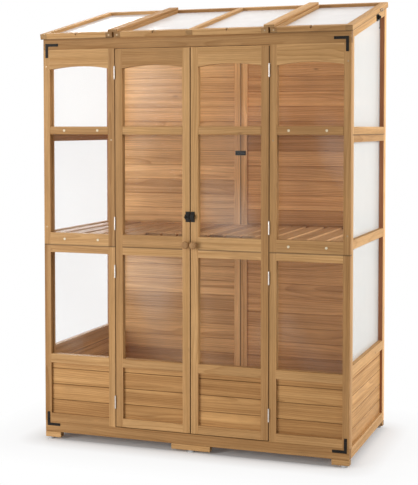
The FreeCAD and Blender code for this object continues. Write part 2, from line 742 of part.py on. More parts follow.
for side in SIDES:
    turn = FreeCAD.Rotation() if side == "right" else FLIP
    line = along(side, "panel_inner - hinge_gap / 2")
    door_leaves[side] = []
    for height in hinge_heights:
        spot = (line, "-knuckle_reach", height)
        fixed_leaves.append(copy_of(f"{side}_{height}_panel_leaf", panel_leaf, *spot, turn))
        door_leaves[side].append(copy_of(f"{side}_{height}_door_leaf", door_leaf, *spot, turn))
        pins.append(rod(f"{side}_{height}_pin", "pin_radius", (*spot[:2], f"{height} - hinge_length / 2"),
                        "z", "hinge_length"))
    vent_leaves[side] = []
    for sign in "-+":
        centre = along(side, f"(vent_inner + vent_outer) / 2 {sign} vent_hinge_spread / 2")
        spot = (centre, "cabinet_depth + knuckle_reach", "back_eave")
        fixed_leaves.append(copy_of(f"{side}_wall_leaf", wall_leaf, *spot, TURN["-z"].multiply(CYCLE)))
        pins.append(rod(f"{side}_vent_pin", "pin_radius", (f"{centre} - hinge_length / 2", *spot[1:]),
                        "x", "hinge_length"))
        vent_leaves[side].append(copy_of(f"{side}_vent_leaf", vent_leaf, centre, f"roof_end + {vent_reach}",
                                         "-knuckle_reach * sin(roof_pitch)", CYCLE))
node("hinge_fixed_leaves", fixed_leaves)
node("hinge_pins", pins)

# Doors: full-height stiles, arched top, three panes and boards
door = ("0", "door_thickness")
for side in SIDES:
    name = f"{side}_door"
    opening = across(side, "door_glass_low", "door_glass_high")
    zone = ("door_board_low", "board_rail_low")
    fittings = [pane_and_slot(f"{name}_{index}", opening, front_pane, tall)
                for index, tall in enumerate(windows)]
    slots = bundle(f"{name}_slots", [room for pane, room in fittings]
                   + [board_slot(f"{name}_board_slot", "x", opening, front_board, zone)])
    stiles = [bar(f"{name}_{place}_stile", across(side, *limits), door, ("door_low", "door_high"))
              for place, limits in (("meeting", ("door_inner", "door_glass_low")),
                                    ("hinge", ("door_glass_high", "door_outer")))]
    rails = [bar(f"{name}_{rail}_rail", opening, door, tall) for rail, tall in (
        ("bottom", ("door_low", "door_board_low")), ("board", ("board_rail_low", "board_rail_high")),
        ("narrow", ("narrow_low", "seam")), ("mid", ("seam", "mid_high")),
        ("shelf", ("shelf_rail_low", "upper_shelf_height")))]
    rails.append(arched(f"{name}_arched_rail", opening, door, "arch_low", "door_high"))
    node(f"{name}_stiles", grooved(stiles, slots))
    node(f"{name}_rails", grooved(rails, slots))
    node(f"{name}_boards", boards(f"{name}_board", "x", opening, front_board, *zone,
                                  SIZES["board_zone_height"] - SIZES["door_clearance"]))
    node(f"{name}_panes", [pane for pane, room in fittings])
    node(f"{name}_hinge_leaves", door_leaves[side])
    centre = along(side, "knob_offset")
    bulb = doc.addObject("Part::Ellipsoid", f"{name}_knob_bulb")
    for size, alias in (("Radius1", "knob_radius"), ("Radius2", "knob_radius"),
                        ("Radius3", "knob_half_length")):
        bulb.setExpression(size, bind(alias))
    put(bulb, centre, "knob_half_length - knob_projection", "knob_height")
    node(f"{name}_knob", [fuse(f"{name}_turned_knob", [
        bulb,
        rod(f"{name}_knob_neck", "knob_neck_radius", (centre, "0", "knob_height"), "-y",
            "knob_projection - knob_half_length"),
        rod(f"{name}_knob_foot", "knob_foot_radius", (centre, "0", "knob_height"), "-y",
            "knob_foot_height")])])

# Latch: a bolt that slides from its block on the left door into the keeper on the right door
plate_y = ("-latch_plate_thickness", "0")
block_y = ("-latch_depth", "-latch_plate_thickness")
plate_z = ("latch_height - latch_plate_height / 2", "latch_height + latch_plate_height / 2")
block_z = ("latch_height - latch_block_height / 2", "latch_height + latch_block_height / 2")
for side, label in zip(SIDES, ("latch_body", "latch_keeper")):
    wide = across(side, "door_inner", "latch_left")
    blank = fuse(f"{label}_blank", [bar(f"{label}_plate", wide, plate_y, plate_z),
                                    bar(f"{label}_block", wide, block_y, block_z)])
    if side == "left":
        handle_room = "bolt_handle_radius + keeper_clearance"
        bore = rod("latch_bore", "bolt_radius + running_clearance",
                   (f"{wide[0]} - cut_margin", "bolt_line", "latch_height"), "x",
                   "latch_plate_width + 2 * cut_margin")
        slit = bar("latch_slot", ("-latch_left - cut_margin",
                                  f"bolt_travel + 2 * ({handle_room}) - latch_left"),
                   ("-latch_depth - cut_margin", "bolt_line"),
                   widen(("latch_height", "latch_height"), handle_room))
        tool = bundle("latch_tools", [bore, slit])
    else:
        room = "bolt_radius + keeper_clearance"
        tool = bar("keeper_hole", widen(wide, "cut_margin"), widen(("bolt_line", "bolt_line"), room),
                   widen(("latch_height", "latch_height"), room))
    node(label, [cut(f"{label}_shape", blank, tool)])
handle_x = f"{handle_room} - latch_left"
handle_tip = doc.addObject("Part::Sphere", "bolt_handle_tip")
handle_tip.setExpression("Radius", bind("bolt_tip_radius"))
put(handle_tip, handle_x, "-latch_depth - bolt_handle_reach", "latch_height")
node("latch_bolt", [fuse("bolt", [
    rod("bolt_rod", "bolt_radius", ("-latch_left", "bolt_line", "latch_height"), "x",
        "latch_plate_width - bolt_rest_gap"),
    rod("bolt_handle", "bolt_handle_radius", (handle_x, "bolt_line", "latch_height"), "-y",
        "latch_depth + bolt_handle_reach + bolt_line"),
    handle_tip])])

# Roof: a fixed centre panel and a hinged vent at each end
slope = ("-roof_front_overhang", "roof_end")
front_rail = ("-roof_front_overhang", "roof_rail_width - roof_front_overhang")
back_rail = ("roof_end - roof_rail_width", "roof_end")
thick = ("0", "roof_thickness")
roof_pane_z = ("roof_pane_height", "roof_pane_height + pane_thickness")


def roof_panel(name, stile_limits):
    """Stiles, rails, panes and drain notches of one roof panel between its stiles."""
    stiles = [bar(f"{name}_stile_{index}", limits, slope, thick)
              for index, limits in enumerate(stile_limits)]
    rails = []
    panes = []
    rooms = []
    for index, (near, far) in enumerate(zip(stile_limits, stile_limits[1:])):
        bay = (near[1], far[0])
        middle = f"(({bay[0]}) + ({bay[1]})) / 2"
        inner = (front_rail[1], back_rail[0])
        reach = "groove_depth - groove_clearance"
        rails += [bar(f"{name}_front_rail_{index}", bay, front_rail, thick),
                  bar(f"{name}_back_rail_{index}", bay, back_rail, thick)]
        panes.append(bar(f"{name}_pane_{index}", widen(bay, reach), widen(inner, reach), roof_pane_z))
        rooms.append(bar(f"{name}_slot_{index}", widen(bay, "groove_depth"), widen(inner, "groove_depth"),
                         widen(roof_pane_z, "groove_clearance")))
        rooms.append(bar(f"{name}_drain_{index}", widen((middle, middle), "drain_width / 2"),
                         widen(front_rail, "cut_margin"),
                         ("roof_thickness - drain_depth", "roof_thickness + cut_margin")))
    return grooved(stiles + rails, bundle(f"{name}_slots", rooms)), panes


centre_frame, centre_panes = roof_panel("centre_roof", [
    ("-centre_roof_edge", "roof_stile_width - centre_roof_edge"),
    ("-roof_stile_width / 2", "roof_stile_width / 2"),
    ("centre_roof_edge - roof_stile_width", "centre_roof_edge")])
node("roof_centre_frame", [tilted("roof_centre_frame_set", centre_frame)])
node("roof_centre_panes", [tilted("roof_centre_panes_set", centre_panes)])


def seam_screw(name, x):
    return rod(name, "screw_head_radius", (x, "-roof_front_overhang", "roof_thickness / 2"), "-y",
               "screw_head_height")


screws.append(tilted("centre_seam_screws", [
    seam_screw(f"{side}_centre_seam_screw", along(side, "centre_roof_edge - roof_stile_width / 2"))
    for side in SIDES]))
node("frame_screws", screws)

hook_plates = []
for side in SIDES:
    name = f"{side}_vent"
    limits = [across(side, "vent_inner", "vent_inner + roof_stile_width"),
              across(side, "vent_outer - roof_stile_width", "vent_outer")]
    frame, panes = roof_panel(name, limits if side == "right" else limits[::-1])
    node(f"{name}_frame", [tilted(f"{name}_frame_set", frame)])
    node(f"{name}_pane", [tilted(f"{name}_pane_set", panes)])
    batten_x = across(side, "roof_seam_offset - batten_width / 2", "roof_seam_offset + batten_width / 2")
    node(f"{name}_batten", [tilted(f"{name}_batten_set", [bar(
        f"{name}_batten_bar", batten_x, slope, ("roof_thickness", "roof_thickness + batten_thickness"))])])
    outward = "x" if side == "right" else "-x"
    ring = doc.addObject("Part::Torus", f"{name}_eye_ring")
    ring.setExpression("Radius1", bind("eye_ring_radius"))
    ring.setExpression("Radius2", bind("eye_wire_radius"))
    put(ring, along(side, "eye_ring_line"), "eye_place", "roof_thickness / 2", TURN["y"])
    eye = fuse(f"{name}_eye", [ring, rod(f"{name}_eye_shank", "eye_wire_radius", (
        along(side, "vent_outer"), "eye_place", "roof_thickness / 2"), outward,
        "eye_wire_radius + eye_standoff")])
    node(f"{name}_fittings", [tilted(f"{name}_fittings_set", vent_leaves[side] + [
        eye, seam_screw(f"{name}_seam_screw", along(side, "vent_inner + roof_stile_width / 2"))])])

    # Hook plate on the side wall's top rail, and the hook that hangs from its pin
    spot = ("hook_place", "-side_top_rail_height / 2")
    hook_plates.append(tilted(f"{side}_hook_plate", [fuse(f"{side}_hook_plate_shape", [
        bar(f"{side}_hook_back", across(side, "half", "hook_plate_face"),
            widen((spot[0], spot[0]), "hook_plate_width / 2"), ("-side_top_rail_height", "0")),
        rod(f"{side}_hook_boss", "hook_boss_radius", (along(side, "hook_plate_face"), *spot), outward,
            "hook_boss_length"),
        rod(f"{side}_hook_pin", "hook_pin_radius", (along(side, "hook_boss_face"), *spot), outward,
            "hook_pin_end - hook_boss_face"),
        rod(f"{side}_hook_head", "hook_disc_radius", (along(side, "hook_pin_end"), *spot), outward,
            "hook_head_height")])]))
    arm_x = along(side, "hook_disc_face + hook_disc_thickness / 2")
    arm_foot = "hook_height - hook_arm_length"
    hook = fuse(f"{side}_hook_blank", [
        rod(f"{side}_hook_disc", "hook_disc_radius",
            (along(side, "hook_disc_face"), "hook_depth", "hook_height"), outward, "hook_disc_thickness"),
        rod(f"{side}_hook_arm", "hook_arm_radius", (arm_x, "hook_depth", arm_foot), "z",
            "hook_arm_length - hook_pin_radius - hook_arm_radius"),
        rod(f"{side}_hook_tip", "hook_arm_radius", (arm_x, "hook_depth + hook_arm_radius", arm_foot), "-y",
            "hook_tip_length")])
    bore = rod(f"{side}_hook_bore", "hook_pin_radius + running_clearance",
               (along(side, "hook_disc_face - cut_margin"), "hook_depth", "hook_height"), outward,
               "hook_disc_thickness + 2 * cut_margin")
    node(f"{side}_roof_hook", [cut(f"{side}_hook_shape", hook, bore)])
node("roof_hook_plates", hook_plates)

# Build, test and write out
doc.recompute()
faults = [item.Label for item in doc.Objects if {"Invalid", "Error"} & set(item.State)]
for item in nodes:
    if item.Shape.isNull() or not item.Shape.isValid() or not item.Shape.Solids:
        faults.append(f"{item.Label} shape")
if faults:
    raise RuntimeError("faulty: " + ", ".join(faults))
os.makedirs("parts", exist_ok=True)
for item in nodes:
    item.Shape.exportStep(f"parts/{item.Label}.step")
    print(item.Label, len(item.Shape.Solids), [round(size, 1) for size in (
        item.Shape.BoundBox.XMin, item.Shape.BoundBox.YMin, item.Shape.BoundBox.ZMin,
        item.Shape.BoundBox.XMax, item.Shape.BoundBox.YMax, item.Shape.BoundBox.ZMax)])
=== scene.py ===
"""Wooden greenhouse cabinet: grained timber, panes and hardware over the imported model."""
import json
import math

import bmesh
import bpy
import numpy as np
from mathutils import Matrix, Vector


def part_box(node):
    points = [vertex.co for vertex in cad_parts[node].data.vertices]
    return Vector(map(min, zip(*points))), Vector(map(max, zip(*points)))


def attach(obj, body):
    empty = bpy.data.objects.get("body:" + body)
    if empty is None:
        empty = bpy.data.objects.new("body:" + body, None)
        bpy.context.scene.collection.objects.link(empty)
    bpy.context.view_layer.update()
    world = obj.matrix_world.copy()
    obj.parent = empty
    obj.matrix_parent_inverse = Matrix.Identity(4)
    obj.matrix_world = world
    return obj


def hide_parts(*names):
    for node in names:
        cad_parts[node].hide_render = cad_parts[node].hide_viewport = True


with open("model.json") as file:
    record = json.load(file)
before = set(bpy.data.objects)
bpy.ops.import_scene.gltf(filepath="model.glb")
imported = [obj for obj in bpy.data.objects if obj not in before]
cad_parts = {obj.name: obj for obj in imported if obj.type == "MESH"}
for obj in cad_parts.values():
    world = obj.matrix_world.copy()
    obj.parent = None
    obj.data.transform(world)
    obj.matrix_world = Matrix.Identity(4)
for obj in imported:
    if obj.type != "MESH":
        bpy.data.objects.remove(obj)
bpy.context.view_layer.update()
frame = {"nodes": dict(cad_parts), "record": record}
behaviour = frame["record"]["behaviour"]
body_of = {node: body for body, nodes in behaviour["bodies"].items() for node in nodes}
slot_of = {part["node"]: part["material_slot"] for part in frame["record"]["subparts"]}
joint_of = {joint["name"]: joint for joint in behaviour["joints"]}

SIDES = ("left", "right")
RIGHT = (1.0, 0.0, 0.0)
FRONT = (0.0, -1.0, 0.0)
BACK = (0.0, 1.0, 0.0)
UP = (0.0, 0.0, 1.0)

# Places and half widths of the dark lines where sticks meet, in metres
FRONT_SEAM = 0.809
SIDE_SEAM = 1.262
HINGE_LINE = joint_of["right_door_swing"]["pos_m"][0]
SEAM_HALF = 0.0022
MEETING_HALF = 0.0036
HINGE_HALF = 0.0032
ROOF_PITCH = math.radians(12.8)
ROOF_UP = (0.0, -math.sin(ROOF_PITCH), math.cos(ROOF_PITCH))
EAVE_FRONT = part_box("front_top_rail")[0][1]
EAVE_HEIGHT = 1.651
ROOF_SEAM = EAVE_HEIGHT * ROOF_UP[2] + EAVE_FRONT * ROOF_UP[1]

# Places where a node's second finish starts, in metres
SCREW_LINE = 0.2
SIDE_STILE_WIDTH = 0.018
REVEAL_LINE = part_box("right_side_stiles")[1][1] - SIDE_STILE_WIDTH
REVEAL_SLACK = 0.0002
REVEAL_SPAN = (REVEAL_LINE - REVEAL_SLACK, REVEAL_LINE + REVEAL_SLACK)

# Meshing and grain: lengths in metres, angles in radians, tones and seams as shares
WELD_STEP = 1e-6
FLAT_ANGLE = math.radians(0.5)
EDGE_ANGLE = math.radians(35)
EDGE_ROUND = {"frame_wood": 0.0022, "shelf_wood": 0.0015}
EDGE_STEPS = 2
ARRIS_DEPTH = 0.0004
PITH_NEAR = 0.02
PITH_FAR = 0.11
GRAIN_SHIFT = 40
TONE_MIDDLE = 0.5
TONE_SPREAD = 0.28
FACE_SHARE = 0.9
SEAM_DEPTH = {"back_boards": 0.34}

# Lighter or darker sticks, one value for a node or one for each of its sticks: painted shade and light for
# the most part, set to follow how light falls, with the right-hand sticks and the skirt darker and the back
# stiles lighter; the vent battens are a darker tone of wood
BOARDS_EACH_SIDE = 4
PAINTED_SHADE_AND_TONE = {
    "front_top_rail": 0.1,
    "front_skirt_rail": -0.55,
    "left_front_stiles": -0.2,
    "right_front_stiles": -0.45,
    "right_front_rails": -0.05,
    "front_panel_boards": (0.2,) * BOARDS_EACH_SIDE + (-0.25,) * BOARDS_EACH_SIDE,
    "left_door_stiles": -0.2,
    "right_door_stiles": (0.1, -0.4),
    "right_door_rails": -0.15,
    "right_door_boards": -0.25,
    "left_vent_batten": -0.4,
    "right_vent_batten": -0.4,
    "back_stiles": 0.35,
}

# Colours, linear
FRAME_PALE = (0.63, 0.368, 0.154, 1)
FRAME_DEEP = (0.36, 0.178, 0.055, 1)
BOARD_PALE = (0.66, 0.368, 0.140, 1)
BOARD_DEEP = (0.34, 0.156, 0.044, 1)
# Paler board colours for the inside of the back wall: painted light, standing in for the light the inside
# lacks
LIT_INNER_PALE = (0.92, 0.545, 0.238, 1)
LIT_INNER_DEEP = (0.50, 0.240, 0.080, 1)
# Darker board colours for the right half of the back wall: painted shade
SHADED_PALE = (0.80, 0.432, 0.176, 1)
SHADED_DEEP = (0.43, 0.186, 0.058, 1)
SHELF_PALE = (0.60, 0.345, 0.162, 1)
SHELF_DEEP = (0.44, 0.232, 0.092, 1)
# Front-facing inner faces of the rear side stiles: painted shade
SHADED_REVEAL_PALE = (0.40, 0.170, 0.078, 1)
SHADED_REVEAL_DEEP = (0.25, 0.090, 0.036, 1)
KNOB_PALE = (0.46, 0.262, 0.115, 1)
KNOB_DEEP = (0.29, 0.148, 0.057, 1)
KNOT = (0.16, 0.070, 0.028, 1)
PANE_TINT = (0.90, 0.93, 0.92, 1)
MILKY_TINT = (0.94, 0.94, 0.93, 1)
ROOF_TINT = (0.80, 0.78, 0.765, 1)
COOL_TINT = (0.77, 0.80, 0.785, 1)
BLACK_COAT = (0.009, 0.007, 0.005, 1)
BLACK_WORN = (0.021, 0.017, 0.013, 1)
ZINC_PALE = (0.66, 0.61, 0.56, 1)
ZINC_DULL = (0.46, 0.43, 0.40, 1)
AGED_PALE = (0.30, 0.29, 0.28, 1)
AGED_DULL = (0.20, 0.19, 0.18, 1)
SCREW_PALE = (0.42, 0.31, 0.20, 1)
SCREW_DULL = (0.27, 0.18, 0.10, 1)
CREAM_PALE = (0.74, 0.64, 0.45, 1)
CREAM_DULL = (0.65, 0.55, 0.37, 1)
GLIDE_PALE = (0.52, 0.52, 0.52, 1)
GLIDE_DULL = (0.30, 0.30, 0.31, 1)
FLOOR_GREY = (0.8, 0.8, 0.8, 1)
WHITE = (1, 1, 1, 1)

# Timber: ring widths in metres, noise cycles per metre along and across the stick, shares and ramps
FRAME_RING = 0.0062
BOARD_RING = 0.0070
SHELF_RING = 0.0066
INNER_RING = 0.0075
KNOB_RING = 0.0030
WAVER_CYCLES = (1.3, 9.0, 9.0)
STREAK_CYCLES = (1.1, 55.0, 55.0)
FIBRE_CYCLES = (22.0, 620.0, 620.0)
MOTTLE_CYCLES = (5.0, 11.0, 11.0)
KNOT_CYCLES = (4.5, 11.0, 11.0)
WAVER_REACH = 0.05
RING_SHARE = 0.40
STREAK_SHARE = 0.60
FIBRE_HEIGHT = 0.6
RING_STOPS = [(0.0, 0.05), (0.45, 0.15), (0.86, 0.85), (0.93, 1.0), (1.0, 0.08)]
STREAK_STOPS = [(0.30, 0.0), (0.70, 1.0)]
FIBRE_STOPS = [(0.3, 0.86), (0.7, 1.06)]
MOTTLE_STOPS = [(0.3, 0.92), (0.7, 1.05)]
TONE_STOPS = [(0.0, (0.76, 0.71, 0.65, 1)), (0.5, WHITE), (1.0, (1.13, 1.15, 1.18, 1))]
KNOT_STOPS = [(0.02, 0.55), (0.07, 0.0)]
END_STOPS = [(0.75, 1.0), (0.97, 0.66)]
SEAM_STOPS = [(0.05, 1.0), (0.75, 0.42)]
GLOSS_STOPS = [(0.2, 0.50), (0.8, 0.66)]
JOINT_DARK = 0.28
TIMBER_SHINE = 0.22
TIMBER_RELIEF = (0.25, 0.0004)

# Coats and panes, with cycles per metre, and gains that are added to a finish's own roughness
COAT_STOPS = (0.35, 0.75)
COAT_GAINS = [(0.3, -0.06), (0.7, 0.08)]
COAT_RELIEF = (0.12, 0.0002)
WIPE_CYCLES = (7.0, 7.0, 2.5)
WIPE_GAINS = [(0.3, 0.0), (0.75, 0.07)]
# Pale patches on the clear panes: a painted reflection, placed by the shift of their noise
GLEAM_CYCLES = (3.2, 3.2, 2.4)
GLEAM_SHIFT = (7.8, 0.0, 16.5)
GLEAM_STOPS = (0.50, 0.72)
PANE_SHINE = 0.6
CLEAR_COVER = 0.012
CLEAR_GLEAM = 0.05
# The left side panes take a thin cover and the right ones a thick pale one: the right ones' whiteness is a
# painted reflection
LEFT_COVER = 0.08
RIGHT_COVER = 0.52
# The roof panes' thick pale cover is a painted reflection of the bright surroundings
ROOF_COVER = 0.72
CLEAR_GLOSS = 0.04
MILKY_GLOSS = 0.20


# Node helpers for the materials
def add(tree, kind, values=None, **settings):
    """Make one shader node; a value that is a socket is linked and any other value is set."""
    item = tree.nodes.new("ShaderNode" + kind)
    for name, setting in settings.items():
        setattr(item, name, setting)
    for key, value in (values or {}).items():
        give(tree, item.inputs[key], value)
    return item


def give(tree, socket, value):
    """Link a socket to another socket, or set it to a plain value."""
    if isinstance(value, bpy.types.NodeSocket):
        tree.links.new(value, socket)
    else:
        socket.default_value = value


def reckon(tree, operation, *terms):
    return add(tree, "Math", dict(enumerate(terms)), operation=operation).outputs[0]


def vector(tree, operation, *terms):
    """One step of vector sums; the result is a number for LENGTH and DOT_PRODUCT, else a vector."""
    item = add(tree, "VectorMath", dict(enumerate(terms)), operation=operation)
    return item.outputs["Value" if operation in ("LENGTH", "DOT_PRODUCT") else "Vector"]


def noise(tree, place, cycles, detail=2.0, rough=0.5):
    """Cloudy values from 0 to 1, with so many cycles per metre along each axis of the place."""
    scaled = vector(tree, "MULTIPLY", place, cycles)
    return add(tree, "TexNoise", {"Vector": scaled, "Scale": 1.0, "Detail": detail,
                                  "Roughness": rough}).outputs["Fac"]


def ramp(tree, value, stops):
    """Colours or grey levels laid out along a value from 0 to 1."""
    item = add(tree, "ValToRGB", {0: value})
    band = item.color_ramp
    while len(band.elements) < len(stops):
        band.elements.new(0.5)
    for element, (place, colour) in zip(band.elements, stops):
        element.position = place
        element.color = colour if isinstance(colour, tuple) else (colour, colour, colour, 1)
    return item.outputs["Color"]


def mix(tree, share, first, second, blend="MIX"):
    """Two colours mixed by a share; the colour sockets of the node are the seventh and the eighth."""
    item = add(tree, "Mix", data_type="RGBA", blend_type=blend)
    for socket, value in zip((item.inputs[0], item.inputs[6], item.inputs[7]), (share, first, second)):
        give(tree, socket, value)
    return item.outputs[2]


def times(tree, colour, factor):
    return mix(tree, 1.0, colour, factor, "MULTIPLY")


def attribute(tree, name, output):
    return add(tree, "Attribute", attribute_name=name).outputs[output]


def blank(name):
    """A new material with its shader; returns the material, its node tree and the shader."""
    material = bpy.data.materials.new(name)
    material.use_nodes = True
    tree = material.node_tree
    return material, tree, tree.nodes["Principled BSDF"]


def relief(tree, shader, height, strength, distance):
    bump = add(tree, "Bump", {"Height": height, "Strength": strength, "Distance": distance})
    tree.links.new(bump.outputs[0], shader.inputs["Normal"])


def timber(name, pale, deep, ring_width, joints=()):
    """Softwood: growth rings round a pith line, long streaks, fine fibres, a few knots and dark end grain.

    The grain attribute holds the distance along the stick and the two distances from its pith line.
    A joint is a direction, the distance along it where two sticks meet and half the width of its dark line.
    """
    material, tree, shader = blank(name)
    grain = attribute(tree, "grain", "Vector")
    waver = noise(tree, grain, WAVER_CYCLES)
    streak = noise(tree, grain, STREAK_CYCLES, 3.0)
    fibre = noise(tree, grain, FIBRE_CYCLES, 2.0, 0.6)
    mottle = noise(tree, grain, MOTTLE_CYCLES)
    radius = vector(tree, "LENGTH", vector(tree, "MULTIPLY", grain, (0, 1, 1)))
    wavy = reckon(tree, "MULTIPLY_ADD", waver, WAVER_REACH, radius)
    ring = reckon(tree, "FRACT", reckon(tree, "DIVIDE", wavy, ring_width))
    late = ramp(tree, ring, RING_STOPS)
    bold = reckon(tree, "MULTIPLY", ramp(tree, streak, STREAK_STOPS), STREAK_SHARE)
    colour = mix(tree, reckon(tree, "MULTIPLY_ADD", late, RING_SHARE, bold), pale, deep)
    colour = times(tree, colour, ramp(tree, fibre, FIBRE_STOPS))
    colour = times(tree, colour, ramp(tree, mottle, MOTTLE_STOPS))
    colour = times(tree, colour, ramp(tree, attribute(tree, "tone", "Fac"), TONE_STOPS))
    stretched = vector(tree, "MULTIPLY", grain, KNOT_CYCLES)
    eye = add(tree, "TexVoronoi", {"Vector": stretched, "Scale": 1.0}).outputs["Distance"]
    colour = mix(tree, ramp(tree, eye, KNOT_STOPS), colour, KNOT)
    spot = add(tree, "TexCoord").outputs
    square = vector(tree, "DOT_PRODUCT", spot["Normal"], attribute(tree, "lengthways", "Vector"))
    colour = times(tree, colour, ramp(tree, reckon(tree, "ABSOLUTE", square), END_STOPS))
    colour = times(tree, colour, ramp(tree, attribute(tree, "seam", "Fac"), SEAM_STOPS))
    for direction, distance, half in joints:
        place = vector(tree, "DOT_PRODUCT", spot["Object"], direction)
        beside = reckon(tree, "ABSOLUTE", reckon(tree, "SUBTRACT", place, distance))
        colour = times(tree, colour, ramp(tree, beside, [(0.5 * half, JOINT_DARK), (half, 1.0)]))
    tree.links.new(colour, shader.inputs["Base Color"])
    tree.links.new(ramp(tree, streak, GLOSS_STOPS), shader.inputs["Roughness"])
    shader.inputs["Specular IOR Level"].default_value = TIMBER_SHINE
    relief(tree, shader, reckon(tree, "MULTIPLY_ADD", fibre, FIBRE_HEIGHT, late), *TIMBER_RELIEF)
    return material


def coated(name, main, worn, spread, rough, metal, grit, shine=0.5):
    """Painted, plated or moulded finish: a cloudy shift between two colours and a fine surface grit.

    Spread and grit are the cycles per metre of the clouds and of the grit.
    """
    material, tree, shader = blank(name)
    place = add(tree, "TexCoord").outputs["Object"]
    cloud = noise(tree, place, (spread, spread, spread), 3.0)
    colour = ramp(tree, cloud, list(zip(COAT_STOPS, (main, worn))))
    tree.links.new(colour, shader.inputs["Base Color"])
    gloss = ramp(tree, cloud, [(stop, rough + gain) for stop, gain in COAT_GAINS])
    tree.links.new(gloss, shader.inputs["Roughness"])
    shader.inputs["Metallic"].default_value = metal
    shader.inputs["Specular IOR Level"].default_value = shine
    relief(tree, shader, noise(tree, place, (grit, grit, grit)), *COAT_RELIEF)
    return material


def clear_sheet(name, tint, cover, rough, gleam=0.0):
    """Clear or milky sheet: a pale film that lets the rest through, with faint wipe marks in its gloss.

    A gleam adds soft cloudy patches of thicker film, a painted reflection.
    """
    material, tree, shader = blank(name)
    place = add(tree, "TexCoord").outputs["Object"]
    wipe = noise(tree, place, WIPE_CYCLES, 3.0)
    gloss = ramp(tree, wipe, [(stop, rough + gain) for stop, gain in WIPE_GAINS])
    tree.links.new(gloss, shader.inputs["Roughness"])
    shader.inputs["Base Color"].default_value = tint
    shader.inputs["Alpha"].default_value = cover
    if gleam:
        patch = noise(tree, vector(tree, "ADD", place, GLEAM_SHIFT), GLEAM_CYCLES, 1.0)
        film = ramp(tree, patch, list(zip(GLEAM_STOPS, (cover, cover + gleam))))
        tree.links.new(film, shader.inputs["Alpha"])
    shader.inputs["Specular IOR Level"].default_value = PANE_SHINE
    return material


def jointed(name, *joints):
    """Frame timber with dark lines where its sticks meet."""
    return timber(name, FRAME_PALE, FRAME_DEEP, FRAME_RING, joints)


# Finishes by material slot
FINISH = {
    "frame_wood": timber("frame_timber", FRAME_PALE, FRAME_DEEP, FRAME_RING),
    "board_wood": timber("board_timber", BOARD_PALE, BOARD_DEEP, BOARD_RING),
    "shelf_wood": timber("shelf_timber", SHELF_PALE, SHELF_DEEP, SHELF_RING),
    "knob_wood": timber("turned_timber", KNOB_PALE, KNOB_DEEP, KNOB_RING),
    # The clear panes carry a painted reflection in pale patches
    "clear_pane": clear_sheet("clear_pane", PANE_TINT, CLEAR_COVER, CLEAR_GLOSS, CLEAR_GLEAM),
    "black_steel": coated("black_powder_coat", BLACK_COAT, BLACK_WORN, spread=60.0, rough=0.50, metal=0.0,
                          grit=2600.0, shine=0.14),
    "zinc_steel": coated("zinc_plate", ZINC_PALE, ZINC_DULL, spread=130.0, rough=0.34, metal=0.85,
                         grit=1800.0),
    "cream_plastic": coated("cream_cap", CREAM_PALE, CREAM_DULL, spread=90.0, rough=0.45, metal=0.0,
                            grit=900.0),
    "glide_plastic": coated("pale_glide", GLIDE_PALE, GLIDE_DULL, spread=80.0, rough=0.50, metal=0.0,
                            grit=900.0),
}

# Finishes of single nodes
ROOF_PANES = ("roof_centre_panes", "left_vent_pane", "right_vent_pane")
# Roof panes: a thick pale cover, a painted reflection
ROOF_PANE = clear_sheet("painted_reflection_roof_pane", ROOF_TINT, ROOF_COVER, MILKY_GLOSS)
LEFT_PANE = clear_sheet("hazy_left_pane", MILKY_TINT, LEFT_COVER, MILKY_GLOSS)
# Right side panes: a thick pale cover, a painted reflection
RIGHT_PANE = clear_sheet("painted_reflection_right_pane", COOL_TINT, RIGHT_COVER, MILKY_GLOSS)
DULL_SCREW = coated("dull_screw", SCREW_PALE, SCREW_DULL, spread=300.0, rough=0.45, metal=0.7, grit=1800.0)
AGED_ZINC = coated("aged_zinc", AGED_PALE, AGED_DULL, spread=130.0, rough=0.45, metal=0.8, grit=1800.0)
# Painted light on the back boards, and painted shade on their right half
LIT_INNER_BOARD = timber("painted_light_board_timber", LIT_INNER_PALE, LIT_INNER_DEEP, INNER_RING)
SHADED_BOARD = timber("painted_shade_board_timber", SHADED_PALE, SHADED_DEEP, INNER_RING)
# Painted shade on the inner faces of the rear side stiles
SHADED_REVEAL_TIMBER = timber("painted_shade_reveal_timber", SHADED_REVEAL_PALE, SHADED_REVEAL_DEEP, FRAME_RING)
# The back stiles take the paler inside colours too, painted light, with a dark joint line down their middle
BACK_JOINT = timber("back_joint_timber", LIT_INNER_PALE, LIT_INNER_DEEP, FRAME_RING, [(RIGHT, 0.0, SEAM_HALF)])
FRONT_JOINT = jointed("front_joint_timber", (UP, FRONT_SEAM, SEAM_HALF))
SIDE_JOINT = jointed("side_joint_timber", (UP, SIDE_SEAM, SEAM_HALF), (ROOF_UP, ROOF_SEAM, SEAM_HALF))
VENT_JOINT = jointed("vent_joint_timber", (ROOF_UP, ROOF_SEAM, SEAM_HALF))
DOOR_JOINT = jointed("door_joint_timber", (RIGHT, 0.0, MEETING_HALF), (RIGHT, HINGE_LINE, HINGE_HALF),
                     (RIGHT, -HINGE_LINE, HINGE_HALF))
SPECIAL = {
    "back_boards": LIT_INNER_BOARD,
    "back_stiles": BACK_JOINT,
    "frame_screws": DULL_SCREW,
    "side_panes": LEFT_PANE,
}
